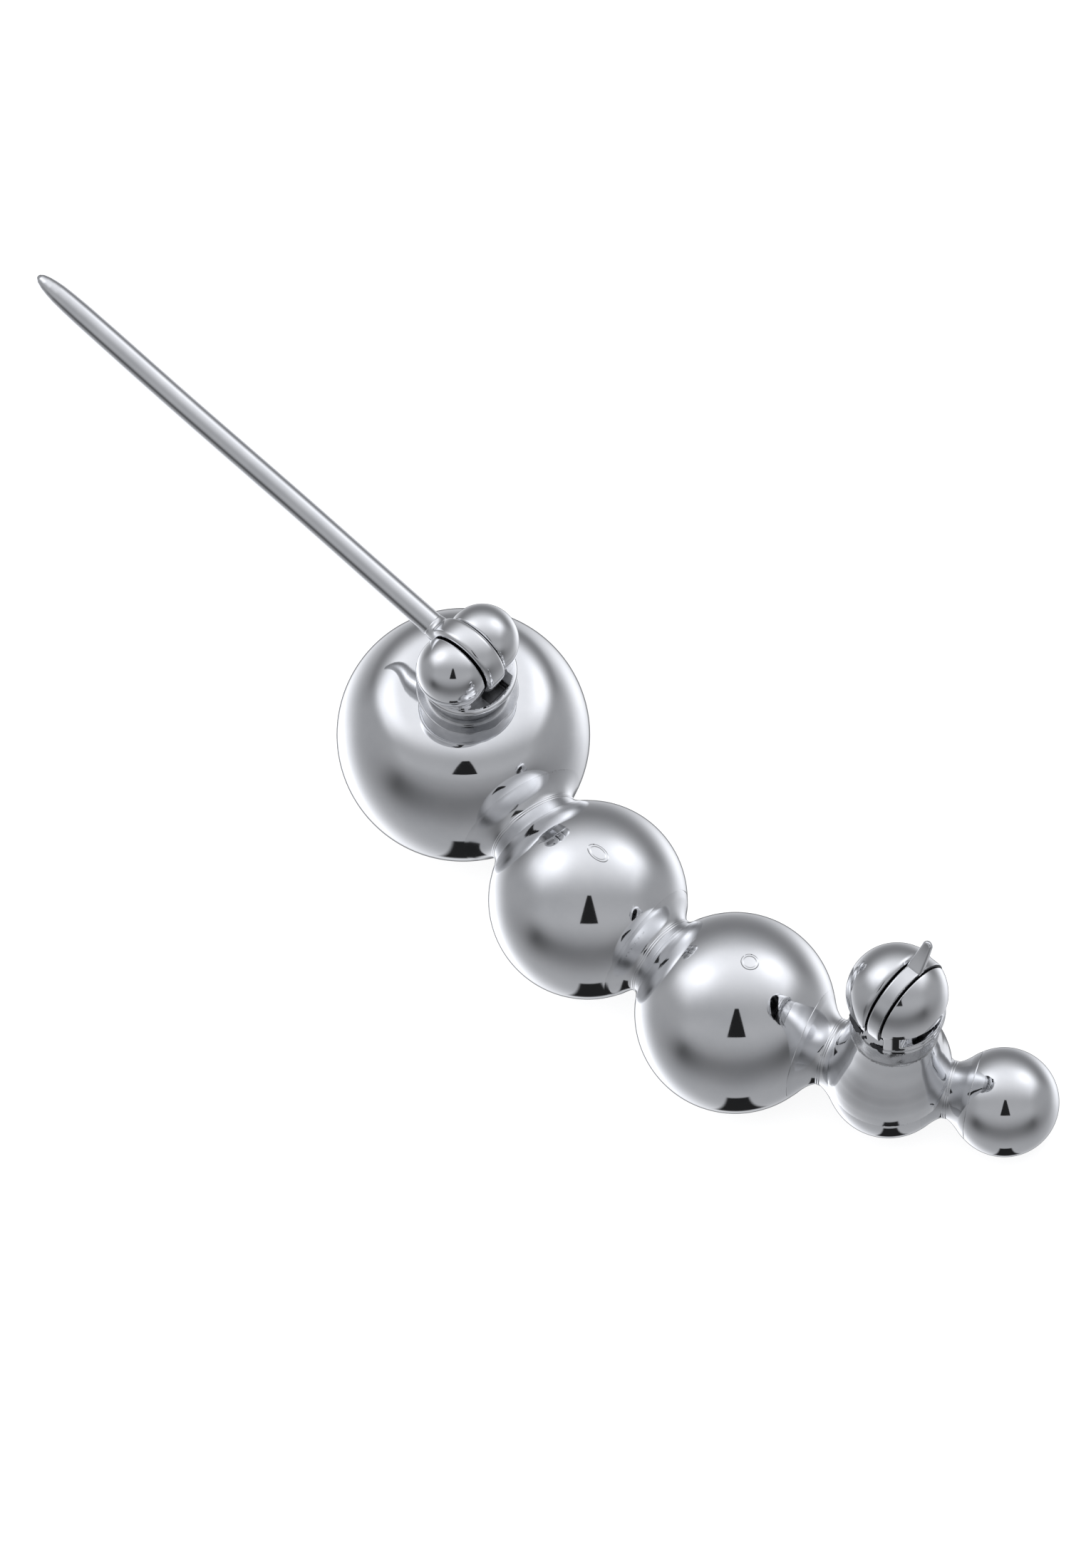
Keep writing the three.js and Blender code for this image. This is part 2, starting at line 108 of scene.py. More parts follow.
def silver(name, lo, hi, rough, wave=0.0, grain=0.0, grain_scale=6.0, bevel=0.0, scratch=0.0, marks=()):
    """Sterling silver: colour and roughness wander slowly, a fine hand-polish waviness and,
    where asked, solder grain or brush lines. Lengths are in millimetres."""
    mat = bpy.data.materials.new(name)
    mat.use_nodes = True
    nt = mat.node_tree
    nt.nodes.clear()
    out = node(nt, "ShaderNodeOutputMaterial")
    bsdf = node(nt, "ShaderNodeBsdfPrincipled")
    nt.links.new(bsdf.outputs["BSDF"], out.inputs["Surface"])
    bsdf.inputs["Metallic"].default_value = 1.0
    tc = node(nt, "ShaderNodeTexCoord")
    mp = node(nt, "ShaderNodeMapping")
    mp.inputs["Scale"].default_value = (1000.0, 1000.0, 1000.0)
    nt.links.new(tc.outputs["Object"], mp.inputs["Vector"])

    def noise_tex(scale, detail=3.0, rough_=0.5):
        n = node(nt, "ShaderNodeTexNoise")
        n.inputs["Scale"].default_value = scale
        n.inputs["Detail"].default_value = detail
        n.inputs["Roughness"].default_value = rough_
        nt.links.new(mp.outputs["Vector"], n.inputs["Vector"])
        return n

    tone = noise_tex(0.35, 4.0, 0.6)
    ramp = node(nt, "ShaderNodeValToRGB")
    ramp.color_ramp.elements[0].position, ramp.color_ramp.elements[1].position = 0.35, 0.65
    ramp.color_ramp.elements[0].color = (*lo, 1.0)
    ramp.color_ramp.elements[1].color = (*hi, 1.0)
    nt.links.new(tone.outputs["Fac"], ramp.inputs["Fac"])
    nt.links.new(ramp.outputs["Color"], bsdf.inputs["Base Color"])

    smear = noise_tex(1.1, 5.0, 0.6)
    rr = node(nt, "ShaderNodeMapRange")
    rr.inputs["From Min"].default_value, rr.inputs["From Max"].default_value = 0.3, 0.75
    rr.inputs["To Min"].default_value, rr.inputs["To Max"].default_value = rough
    nt.links.new(smear.outputs["Fac"], rr.inputs["Value"])
    nt.links.new(rr.outputs["Result"], bsdf.inputs["Roughness"])

    last = None

    def bump(height, distance_mm, strength=1.0):
        nonlocal last
        b = node(nt, "ShaderNodeBump")
        b.inputs["Strength"].default_value = strength
        b.inputs["Distance"].default_value = distance_mm * 1e-3
        nt.links.new(height, b.inputs["Height"])
        if last is not None:
            nt.links.new(last, b.inputs["Normal"])
        last = b.outputs["Normal"]

    if bevel:
        bv = node(nt, "ShaderNodeBevel", samples=6)
        bv.inputs["Radius"].default_value = bevel * 1e-3
        last = bv.outputs["Normal"]
    if wave:
        bump(noise_tex(0.55, 1.5, 0.4).outputs["Fac"], wave)
    if scratch:
        w = node(nt, "ShaderNodeTexNoise")
        w.inputs["Scale"].default_value = 1.0
        w.inputs["Detail"].default_value = 6.0
        mp2 = node(nt, "ShaderNodeMapping")
        mp2.inputs["Scale"].default_value = (28000.0, 1500.0, 1500.0)
        nt.links.new(tc.outputs["Object"], mp2.inputs["Vector"])
        nt.links.new(mp2.outputs["Vector"], w.inputs["Vector"])
        bump(w.outputs["Fac"], scratch)
    if grain:
        bump(noise_tex(grain_scale, 5.0, 0.65).outputs["Fac"], grain)
    for centre, kind in marks:
        sub = node(nt, "ShaderNodeVectorMath", operation="SUBTRACT")
        sub.inputs[1].default_value = tuple(float(x) for x in np.asarray(centre) * 1000.0)
        nt.links.new(mp.outputs["Vector"], sub.inputs[0])
        ln = node(nt, "ShaderNodeVectorMath", operation="LENGTH")
        if kind == "oval":
            sc = node(nt, "ShaderNodeVectorMath", operation="MULTIPLY")
            sc.inputs[1].default_value = (0.72, 1.25, 1.0)
            nt.links.new(sub.outputs["Vector"], sc.inputs[0])
            nt.links.new(sc.outputs["Vector"], ln.inputs[0])
        else:
            nt.links.new(sub.outputs["Vector"], ln.inputs[0])
        cr = node(nt, "ShaderNodeValToRGB")
        els = cr.color_ramp.elements
        els[0].position, els[0].color = 0.0, (0.45, 0.45, 0.45, 1)
        els[1].position, els[1].color = 1.0, (1, 1, 1, 1)
        for pos, val in ((0.30, 0.45), (0.36, 0.0), (0.42, 0.0), (0.47, 1.0)):
            e = els.new(pos)
            e.color = (val, val, val, 1)
        nt.links.new(ln.outputs["Value"], cr.inputs["Fac"])
        bump(cr.outputs["Color"], 0.04)
    if last is not None:
        nt.links.new(last, bsdf.inputs["Normal"])
    return mat


# ------------------------------------------------------------------ mesh helpers
DONE = []


def add_piece(name, verts, faces, body, nodes, mat, normals=None, local=None, second=None):
    """second is (material, test of face centres in the piece's own frame)."""
    v = np.asarray(verts, float)
    own = v.copy()
    n = None if normals is None else np.asarray(normals, float)
    if local is not None:
        rot, off = local
        v = v @ rot.T + off
        if n is not None:
            n = n @ rot.T
    me = bpy.data.meshes.new(name)
    me.from_pydata([tuple(p) for p in to_row(v)], [], [tuple(int(i) for i in f) for f in faces])
    me.validate(clean_customdata=False)
    me.polygons.foreach_set("use_smooth", [True] * len(me.polygons))
    if n is not None and len(me.vertices) == len(v):
        me.normals_split_custom_set_from_vertices([tuple(x) for x in n @ ROT.T])
    me.update()
    ob = bpy.data.objects.new(name, me)
    bpy.context.scene.collection.objects.link(ob)
    ob.data.materials.append(mat)
    if second is not None:
        ob.data.materials.append(second[0])
        mid = np.array([own[list(p_.vertices)].mean(axis=0) for p_ in me.polygons])
        me.polygons.foreach_set("material_index", np.asarray(second[1](mid[:, 0], mid[:, 1], mid[:, 2])).astype(np.int32))
    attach(ob, body)
    if nodes:
        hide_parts(*nodes)
    DONE.append(ob)
    return ob


def revolve(profile, segs, closed=False):
    """Rings of a [radius, height] profile about +Z with outward normals from the profile."""
    prof = np.asarray(profile, float)
    n = len(prof)
    verts, faces, rings = [], [], []
    a = np.arange(segs) * 2 * np.pi / segs
    ca, sa = np.cos(a), np.sin(a)
    for r, h in prof:
        if r < 1e-9:
            rings.append([len(verts)])
            verts.append((0.0, 0.0, h))
        else:
            rings.append(list(range(len(verts), len(verts) + segs)))
            verts.extend(zip(r * ca, r * sa, np.full(segs, h)))
    pairs = [(i, i + 1) for i in range(n - 1)] + ([(n - 1, 0)] if closed else [])
    for i, j in pairs:
        A, B = rings[i], rings[j]
        for k in range(segs):
            k2 = (k + 1) % segs
            if len(A) == 1 and len(B) == 1:
                continue
            if len(A) == 1:
                faces.append((A[0], B[k2], B[k]))
            elif len(B) == 1:
                faces.append((A[k], A[k2], B[0]))
            else:
                faces.append((A[k], A[k2], B[k2], B[k]))
    return np.array(verts), faces


def spin_to(v, axis_dir):
    """Turn +Z solids so that +Z lies along axis_dir."""
    z = np.asarray(axis_dir, float)
    z /= np.linalg.norm(z)
    x = np.cross([0, 0, 1.0], z)
    if np.linalg.norm(x) < 1e-9:
        x = np.array([1.0, 0, 0])
    x /= np.linalg.norm(x)
    y = np.cross(z, x)
    return v @ np.column_stack([x, y, z]).T


def net(f, lo, hi, h):
    """Closed quad surface of f = 0 (f < 0 inside), its vertices moved on to the surface."""
    lo, hi = np.asarray(lo, float), np.asarray(hi, float)
    dims = np.ceil((hi - lo) / h).astype(int) + 1
    ax = [lo[i] + np.arange(dims[i]) * h for i in range(3)]
    X, Y, Z = np.meshgrid(*ax, indexing="ij")
    F = f(X, Y, Z)
    S = F < 0
    cells = tuple(d - 1 for d in dims)
    acc = np.zeros(cells + (3,))
    cnt = np.zeros(cells)
    C = (X, Y, Z)
    quads = []
    edges = []
    for a in range(3):
        s0 = [slice(None)] * 3
        s1 = [slice(None)] * 3
        s0[a], s1[a] = slice(0, -1), slice(1, None)
        s0, s1 = tuple(s0), tuple(s1)
        E = S[s0] != S[s1]
        d = F[s0] - F[s1]
        t = np.where(E, F[s0] / np.where(d == 0, 1, d), 0)
        pos = [np.where(E, C[k][s0] + (t * h if k == a else 0), 0) for k in range(3)]
        others = [k for k in range(3) if k != a]
        for d0 in (0, 1):
            for d1 in (0, 1):
                sl = [slice(None)] * 3
                sl[others[0]] = slice(d0, d0 + cells[others[0]])
                sl[others[1]] = slice(d1, d1 + cells[others[1]])
                sl = tuple(sl)
                cnt += E[sl]
                for k in range(3):
                    acc[..., k] += pos[k][sl]
        edges.append((a, others, E, S[s0]))
    active = cnt > 0
    idx = np.full(cells, -1)
    idx[active] = np.arange(active.sum())
    V = acc[active] / cnt[active][:, None]
    for a, others, E, inside in edges:
        sl = [slice(None)] * 3
        for k in others:
            sl[k] = slice(1, -1)
        ii = np.argwhere(E[tuple(sl)])
        if not len(ii):
            continue
        base = ii.copy()
        base[:, others[0]] += 1
        base[:, others[1]] += 1
        ins = inside[tuple(base.T)]

        def cell(d0, d1):
            c = base.copy()
            c[:, others[0]] -= d0
            c[:, others[1]] -= d1
            return idx[tuple(c.T)]

        q = np.stack([cell(1, 1), cell(0, 1), cell(0, 0), cell(1, 0)], axis=1)
        flip = ~ins if a != 1 else ins
        q[flip] = q[flip][:, ::-1]
        quads.append(q)
    Q = np.concatenate(quads)

    def grad(P):
        e = 1e-3
        g = np.empty_like(P)
        for k in range(3):
            d = np.zeros(3)
            d[k] = e
            A, B = P + d, P - d
            g[:, k] = (f(A[:, 0], A[:, 1], A[:, 2]) - f(B[:, 0], B[:, 1], B[:, 2])) / (2 * e)
        return g

    for _ in range(4):
        g = grad(V)
        val = f(V[:, 0], V[:, 1], V[:, 2])
        step = (val / np.maximum((g * g).sum(1), 1e-6))[:, None] * g
        ln = np.linalg.norm(step, axis=1, keepdims=True)
        step *= np.minimum(1.0, 0.6 * h / np.maximum(ln, 1e-9))
        V = V - step
    g = grad(V)
    N = g / np.maximum(np.linalg.norm(g, axis=1, keepdims=True), 1e-9)
    return V, Q, N


def smin(a, b, k):
    t = np.maximum(k - np.abs(a - b), 0) / k
    return np.minimum(a, b) - t * t * k * 0.25


def smax(a, b, k):
    return -smin(-a, -b, k)


def sphere(x, y, z, c, r):
    return np.sqrt((x - c[0]) ** 2 + (y - c[1]) ** 2 + (z - c[2]) ** 2) - r


_rng = np.random.RandomState(7)
_WAVES = [(_rng.normal(size=3), _rng.uniform(0, 6.28)) for _ in range(28)]


def rough_field(x, y, z, scale):
    """Smooth repeatable grain between about -1 and 1."""
    s = 0.0
    for d, ph in _WAVES:
        s = s + np.sin((x * d[0] + y * d[1] + z * d[2]) * scale + ph)
    return s / 7.5


# ------------------------------------------------------------------ materials in use
# generic round and oval punch marks stand for the small stamped marks
def on_ball(i, u, w):
    c = np.array([BALLS[i][0], BALLS[i][1], 0.0])
    q = math.sqrt(max(0.0, 1 - u * u - w * w))
    return to_row(c + BALLS[i][2] * (CAM_R * u + CAM_U * w + CAM_V * q))


LO, HI = (0.86, 0.87, 0.89), (0.93, 0.935, 0.95)
m_ball = [
    silver("silver_ball_%d" % (i + 1), LO, HI, (0.035, 0.075), wave=0.0014, scratch=0.00012,
           marks=(((on_ball(1, 0.10, 0.47), "oval"),) if i == 1 else ((on_ball(2, 0.14, 0.51), "round"),) if i == 2 else ()))
    for i in range(5)
]
m_bright = silver("silver_polished", LO, HI, (0.04, 0.09), wave=0.0012, scratch=0.00012)
m_neck = silver("silver_neck", (0.80, 0.81, 0.83), (0.90, 0.905, 0.92), (0.06, 0.13), wave=0.0016, grain=0.0004, grain_scale=2.2)
m_stem = silver("silver_stem", (0.82, 0.83, 0.85), (0.91, 0.915, 0.93), (0.07, 0.16), wave=0.004, scratch=0.0006)
m_satin = silver("silver_satin", (0.80, 0.81, 0.83), (0.89, 0.895, 0.91), (0.10, 0.20), wave=0.002, scratch=0.0012)
# crevices, slots and gaps between parts: painted shade, a near-black base colour, and rough
m_painted_shade = silver("silver_painted_shade", (0.045, 0.046, 0.050), (0.16, 0.163, 0.172), (0.30, 0.52), grain=0.004, grain_scale=4.0)
m_boss = silver("silver_boss", (0.40, 0.41, 0.43), (0.72, 0.725, 0.74), (0.13, 0.30), wave=0.006, grain=0.003, grain_scale=2.6)
# the hinge recess floors: painted shade, a dark base colour
m_recess_painted_shade = silver("silver_recess_painted_shade", (0.11, 0.112, 0.118), (0.32, 0.325, 0.335), (0.28, 0.50), grain=0.004, grain_scale=4.0)
m_solder = silver("silver_solder", (0.52, 0.53, 0.55), (0.82, 0.825, 0.84), (0.16, 0.38), grain=0.014, grain_scale=4.2)
m_seam = silver("silver_seam", (0.80, 0.81, 0.83), (0.92, 0.925, 0.94), (0.06, 0.16), grain=0.002, grain_scale=3.0)

# ------------------------------------------------------------------ balls
SEG = 192


SEAT_Z, SHOULDER_R = 5.05, 2.4


def seat_radius(phi, r):
    """Distance to the surface of ball 1 along a ray at phi from its top: flat, shoulder, ball."""
    a = math.acos((SEAT_Z - SHOULDER_R) / (r - SHOULDER_R))
    cr, cz = (r - SHOULDER_R) * math.sin(a), (r - SHOULDER_R) * math.cos(a)
    if phi >= a:
        return r
    if SEAT_Z * math.tan(phi) <= cr:
        return SEAT_Z / math.cos(phi)
    k_ = cr * math.sin(phi) + cz * math.cos(phi)
    return k_ + math.sqrt(k_ * k_ - (cr * cr + cz * cz - SHOULDER_R ** 2))


def ball_mesh(r, phase, seated=False):
    """Hand-finished ball: a fine latitude grid, very slightly out of round."""
    th = np.linspace(0, np.pi, SEG // 2 + 1)
    k_ = np.array([seat_radius(math.pi - t, r) / r if seated else 1.0 for t in th])
    prof = np.column_stack([np.sin(th) * k_, -np.cos(th) * k_])
    prof[0, 0] = prof[-1, 0] = 0.0
    v, f = revolve(prof, SEG)
    wob = 0.0009 * np.sin(2.3 * v[:, 0] + phase) + 0.0007 * np.sin(2.9 * v[:, 1] + 1.7 * phase) + 0.0006 * np.sin(3.1 * v[:, 2] - phase)
    return v * (r * (1 - 0.0052 - (0.0030 if r < 3 else 0) + wob))[:, None], f


for i, (bx, by, br) in enumerate(BALLS):
    v, f = ball_mesh(br, 1.3 * i + 0.4, seated=i == 0)
    add_piece("silver_" + BALL_NODES[i], v + np.array([bx, by, 0.0]), f, "bar", [BALL_NODES[i]], m_ball[i])

# ------------------------------------------------------------------ necks and seams
NECKS = []
for i, waist in enumerate(SEAMS):
    (ax_, ay_, ar), (bx_, by_, brr) = BALLS[i], BALLS[i + 1]
    d = math.hypot(bx_ - ax_, by_ - ay_)

    xa = math.sqrt(ar * ar - waist * waist)
    xb = d - math.sqrt(brr * brr - waist * waist)
    ha = (xa + xb) / 2
    fr = 0.5
    dirn = np.array([(bx_ - ax_) / d, (by_ - ay_) / d, 0.0])
    org = np.array([ax_, ay_, 0.0])
    NECKS.append((org, dirn, d, ha, waist))

    def flank(r, start, end):
        """From the ball (radius r, at the origin) to the seam, as (radius, height) points."""
        x0 = math.sqrt(r * r - start * start)
        pts = []
        for k_ in range(6):                                   # sunk a little under the ball first
            q_ = start + 0.30 * (1 - k_ / 6)
            pts.append((q_ - 0.012 * (1 - k_ / 6), math.sqrt(r * r - q_ * q_) - 0.022 * r / 5 - 0.012 * (1 - k_ / 6)))
        p0, p1 = np.array([start, x0 - 0.022 * r / 5]), np.array([waist, end])
        ln = np.linalg.norm(p1 - p0)
        t0 = np.array([-x0, start]) / r * ln * 0.70
        t1 = np.array([-0.22, 0.98]) * ln * 1.0
        for k_ in range(25):
            u = k_ / 24
            pts.append(tuple(p0 * (1 + 2 * u) * (1 - u) ** 2 + t0 * u * (1 - u) ** 2
                             + p1 * u * u * (3 - 2 * u) - t1 * u * u * (1 - u)))
        return pts

    left = flank(ar, FLANKS[i][0], ha - 0.03)
    right = [(r_, d - h_) for r_, h_ in flank(brr, FLANKS[i][1], d - ha - 0.03)]
    prof = left + right[::-1]
    inner = [(0.45, prof[-1][1] - 0.05), (0.45, prof[0][1] + 0.05)]
    v, f = revolve(prof + inner, 160, closed=True)
    nm = "%d_%d" % (i + 1, i + 2)
    # hand-soldered: the fillet is a little uneven round the waist
    ang = np.arctan2(v[:, 1], v[:, 0])
    uneven = 0.005 * np.sin(3 * ang + i) + 0.003 * np.sin(7 * ang + 2.1 * i)
    rad = np.hypot(v[:, 0], v[:, 1])
    k = np.where(rad > 0.6, 1 + 0.4 * uneven * np.exp(-((v[:, 2] - ha) / (0.35 * fr)) ** 2) / np.maximum(rad, 0.6), 1)
    v[:, 0] *= k
    v[:, 1] *= k
    add_piece("silver_neck_collar_" + nm, spin_to(v, dirn) + org, f, "bar", ["neck_collar_" + nm], m_neck)
    # seam: two fine beads side by side with a groove between
    w = waist + 0.012
    h = 0.115
    sp = []
    for t in np.linspace(-1, 1, 33):
        bump_ = 0.024 * abs(math.sin(math.pi * t)) ** 0.8 + 0.006
        sp.append((w + bump_, ha + t * h))
    sp = [(w - 0.12, ha - h * 1.1)] + sp + [(w - 0.12, ha + h * 1.1)]
    v, f = revolve(sp, 160, closed=True)
    ang = np.arctan2(v[:, 1], v[:, 0])
    v[:, 2] += 0.018 * np.sin(2 * ang + i) + 0.008 * np.sin(5 * ang + 3 * i)
    add_piece("silver_seam_ring_" + nm, spin_to(v, dirn) + org, f, "bar", ["seam_ring_" + nm], m_seam)

# ------------------------------------------------------------------ hinge
H = 0.05
B1 = np.array([BALLS[0][0], BALLS[0][1], 0.0])


def f_recess(x, y, z, grow=0.0):
    run = np.maximum(np.maximum(x - 2.12, -x), 6.55 - z)      # the slot runs on towards +X
    return smax(np.minimum(np.hypot(x, z - AXIS_Z) - 2.25, run) - grow, np.abs(y) - 0.69 - grow, 0.05)


def f_boss(x, y, z):
    rho = np.hypot(x, y)
    wall = smax(rho - 2.35 + 0.40 * np.clip((6.7 - z) / 1.3, 0, 1) - 0.03 * np.cos(np.arctan2(y, x) + 0.8), z - 6.81, 0.08)
    f = smin(wall, z - SEAT_Z - 0.006, 0.26)
    f = f + 0.006 * rough_field(x, y, z, 5.0) * np.clip(1 - np.abs(z - 5.18) / 0.22, 0, 1)
    f = smax(f, rho - 2.56 - 0.05 * rough_field(x, y, 0.0 * z, 2.3), 0.08)
    f = np.maximum(f, SEAT_Z - 0.3 - z)
    return smax(f, -f_recess(x, y, z), 0.05)


v, q, n = net(f_boss, (-3.2, -3.2, 4.6), (3.2, 3.2, 6.95), H)


def in_recess(x, y, z):
    return f_recess(x, y, z) < 0.035


# the boss's recess faces carry the painted shade
add_piece("silver_hinge_boss", v, q, "bar", ["hinge_boss"], m_boss, n, second=(m_recess_painted_shade, in_recess))


def f_plate(x, y, z):
    rho = np.hypot(x, y)
    f = smax(rho - 2.5, np.abs(z - 6.995) - 0.165, 0.16)
    return smax(f, -f_recess(x, y, z), 0.06)


v, q, n = net(f_plate, (-2.7, -2.7, 6.7), (2.7, 2.7, 7.3), H)
# the plate's recess faces and its top where the cheeks' feet are cut away carry the painted shade
add_piece("silver_hinge_base_plate", v, q, "bar", ["hinge_base_plate"], m_bright, n,
          second=(m_recess_painted_shade, lambda x, y, z: in_recess(x, y, z) | ((z > 7.10) & (x > 0.9) & (np.hypot(x, y) < 2.28) & (y > -1.7) & (y < 1.25))))


def cheek(side):
    def f(x, y, z):
        c = (0.0, side * 1.12, AXIS_Z)
        s = sphere(x, y, z, c, 1.83)
        foot = smax(np.hypot(x, y - c[1]) - 1.68, z - AXIS_Z, 0.2)
        foot = smax(foot, np.hypot(x, y) - 2.34, 0.25)
        g = smin(s, foot, 0.35)
        # small solder fillet where the cheek stands on the plate
        foot2 = smax(smax(np.hypot(x, y) - 2.30, z - 7.22, 0.08), x - 1.15, 0.10)
        g = smin(g, foot2, 0.22)
        g = smax(g, 7.14 - z, 0.04)
        return smax(g, 0.69 - side * y, 0.13)
    return f


for nm, side in (("front", -1), ("back", 1)):
    ylo, yhi = (-3.1, -0.55) if side < 0 else (0.55, 3.1)
    v, q, n = net(cheek(side), (-2.5, ylo, 7.0), (2.5, yhi, 10.7), H)
    # the cheeks' inner faces, facing each other across the slot, carry the painted shade
    add_piece("silver_hinge_cheek_" + nm, v, q, "bar", ["hinge_cheek_" + nm], m_bright, n,
              second=(m_painted_shade, lambda x, y, z: (np.abs(y) < 0.72) & (z < AXIS_Z + 1.2)))

prof = [(0.0, -1.6), (0.2, -1.6), (0.31, -1.57), (0.35, -1.5)] + [(0.35, t) for t in np.linspace(-1.4, 1.4, 9)] + [(0.35, 1.5), (0.31, 1.57), (0.2, 1.6), (0.0, 1.6)]
v, f = revolve(prof, 64)
add_piece("silver_hinge_rivet", spin_to(v, (0, 1, 0)) + np.array([0, 0, AXIS_Z]), f, "bar", ["hinge_rivet"], m_satin)

# the pin is drawn closed along +X and turned open about the rivet
oa = math.radians(-171.2)
OPEN = np.array([[math.cos(oa), 0, math.sin(oa)], [0, 1, 0], [-math.sin(oa), 0, math.cos(oa)]])
PIN = (OPEN, np.array([0.0, 0.0, AXIS_Z]))


def f_knuckle(x, y, z):
    rho = np.hypot(x, z)
    g = smax(rho - 2.1 + 0.05 * (y / 0.6) ** 2, np.abs(y) - 0.6, 0.26)
    stub = smax(np.hypot(y, z) - 0.64, np.abs(x - 1.95) - 0.42, 0.12)
    g = smin(g, stub, 0.26)
    return smax(g, 0.40 - rho, 0.04)


v, q, n = net(f_knuckle, (-2.25, -0.75, -2.25), (2.6, 0.75, 2.25), H)
add_piece("silver_pin_knuckle", v, q, "pin", ["pin_knuckle"], m_bright, n, PIN)

L = 29.0
key = np.array([(1.72, 0.58), (1.78, 0.62), (12, 0.605), (26.0, 0.59), (27.0, 0.565), (27.6, 0.53), (28.05, 0.47), (28.45, 0.39), (28.78, 0.27), (28.95, 0.13), (29.0, 0.0)])
st = np.concatenate([np.linspace(1.72, 26, 60), np.linspace(26.1, 28.0, 20), 28.0 + 1.0 * np.sin(np.linspace(0.05, np.pi / 2, 24))])


def stem_r(t):
    r_ = float(np.interp(t, key[:, 0], key[:, 1]))
    if t > 27.0:
        r_ = min(r_, 0.565 * math.sqrt(max(0.0, 1 - ((t - 27.0) / 2.0) ** 2.3)))
    return r_ * (1 - 0.035 * min(1.0, max(0.0, (t - 24.0) / 3.0)))


prof = [(0.0, 1.72)] + [(max(0.0, stem_r(t)), t) for t in st]
prof[-1] = (0.0, 29.0)
v, f = revolve(prof, 72)
sx = spin_to(v, (1, 0, 0))
# drawn wire is never quite straight; it stays true at the knuckle and at the tip
free = np.sin(np.pi * np.clip((sx[:, 0] - 1.72) / 27.28, 0, 1)) ** 2
sx[:, 1] += 0.030 * np.sin(sx[:, 0] * 0.22) * free
sx[:, 2] += 0.022 * np.sin(sx[:, 0] * 0.31 + 1.0) * free
sx[:, 0] -= 0.02 * np.clip((sx[:, 0] - 20) / 9, 0, 1)
add_piece("silver_pin_stem", sx, f, "pin", ["pin_stem"], m_stem, None, PIN)

# ------------------------------------------------------------------ catch
C = np.array([CATCH_X, 0.0, AXIS_Z])
CATCH = (np.eye(3), C)
MOUTH = math.radians(214)


def f_mouth(x, y, z, x1, half=0.80):
    along = y * math.cos(MOUTH) + z * math.sin(MOUTH)
    across = -y * math.sin(MOUTH) + z * math.cos(MOUTH)
    g = smax(np.abs(across) - half, -along, 0.05)
    return smax(g, x - x1, 0.05)


def f_throat(x, y, z, r, x0, x1):
    return smax(np.hypot(y, z) - r, np.maximum(x0 - x, x - x1), 0.04)


def f_slot(x, y, z):
    return np.maximum(np.hypot(y, z) - 2.55, np.maximum(0.03 - x, x - 0.97))


def f_dome(x, y, z):
    rho = np.hypot(x, y)
    upper = smax(sphere(x, y, z, (0, 0, 0), 2.555), -0.08 - z, 0.07)
    wall = smax(rho - 2.42, z, 0.05)
    return np.maximum(smin(upper, wall, 0.03), -1.5 - z)


def f_inner(x, y, z):
    g = f_dome(x, y, z)
    edge = 0.10 + 0.22 * np.clip((z - 0.2) / 1.2, 0, 1)
    g = smax(g, x - 0.03, edge)
    g = smax(g, -f_mouth(x, y, z, 1.0), 0.07)
    return smax(g, -f_throat(x, y, z, 0.7, -4, 1), 0.04)


def f_outer(x, y, z):
    g = f_dome(x, y, z)
    g = smax(g, 0.97 - x, 0.09)
    g = smax(g, -f_throat(x, y, z, 0.7, 0.5, 1.85), 0.04)
    ring = smax(np.abs(z + 0.72) - 0.52, 1.78 - np.hypot(x, y), 0.05)
    ring = smax(ring, 1.05 - x * 0.86 - y * 0.25, 0.10)
    return smax(g, -ring, 0.06)


v, q, n = net(f_inner, (-2.75, -2.75, -1.65), (0.2, 2.75, 2.75), H)


def in_catch_painted_shade(x, y, z):
    """Faces of the slot, the mouth and the throat, which carry the painted shade."""
    deep = (np.hypot(y, z) < 2.30) | (z < 0)
    return (((x > 0.0) & (x < 1.0) & deep) | (f_mouth(x, y, z, 1.0) < 0.03) | ((np.hypot(y, z) < 0.74) & (x < 1.9) & (x > -2.3)))


# the catch cheeks' slot, mouth and throat faces carry the painted shade
add_piece("silver_catch_cheek_inner", v, q, "bar", ["catch_cheek_inner"], m_bright, n, CATCH, (m_painted_shade, in_catch_painted_shade))
v, q, n = net(f_outer, (0.8, -2.75, -1.65), (2.75, 2.75, 2.75), H)
add_piece("silver_catch_cheek_outer", v, q, "bar", ["catch_cheek_outer"], m_bright, n, CATCH, (m_painted_shade, in_catch_painted_shade))


def f_cplate(x, y, z):
    rho = np.hypot(x, y)
    g = smax(rho - 2.45 + 0.010 * rough_field(x, y, z, 4.0), np.abs(z + 1.72) - 0.185, 0.10)
    g = smax(g, -f_slot(x, y, z), 0.04)
    return smax(g, -f_mouth(x, y, z, 0.97), 0.06)


v, q, n = net(f_cplate, (-2.6, -2.6, -2.05), (2.6, 2.6, -1.4), H)
# the catch plate's slot and mouth faces carry the painted shade
add_piece("silver_catch_base_plate", v, q, "bar", ["catch_base_plate"], m_neck, n, CATCH, (m_painted_shade, in_catch_painted_shade))

B4 = np.array([BALLS[3][0] - CATCH_X, BALLS[3][1], -AXIS_Z])
BELL = np.array([(-9.5, 3.05), (-8.4, 3.10), (-7.9, 3.14), (-7.4, 3.10), (-6.6, 2.93), (-5.9, 2.73), (-5.2, 2.55), (-4.4, 2.40), (-3.75, 2.28), (-3.1, 2.19), (-2.5, 2.15), (-1.0, 2.15)])


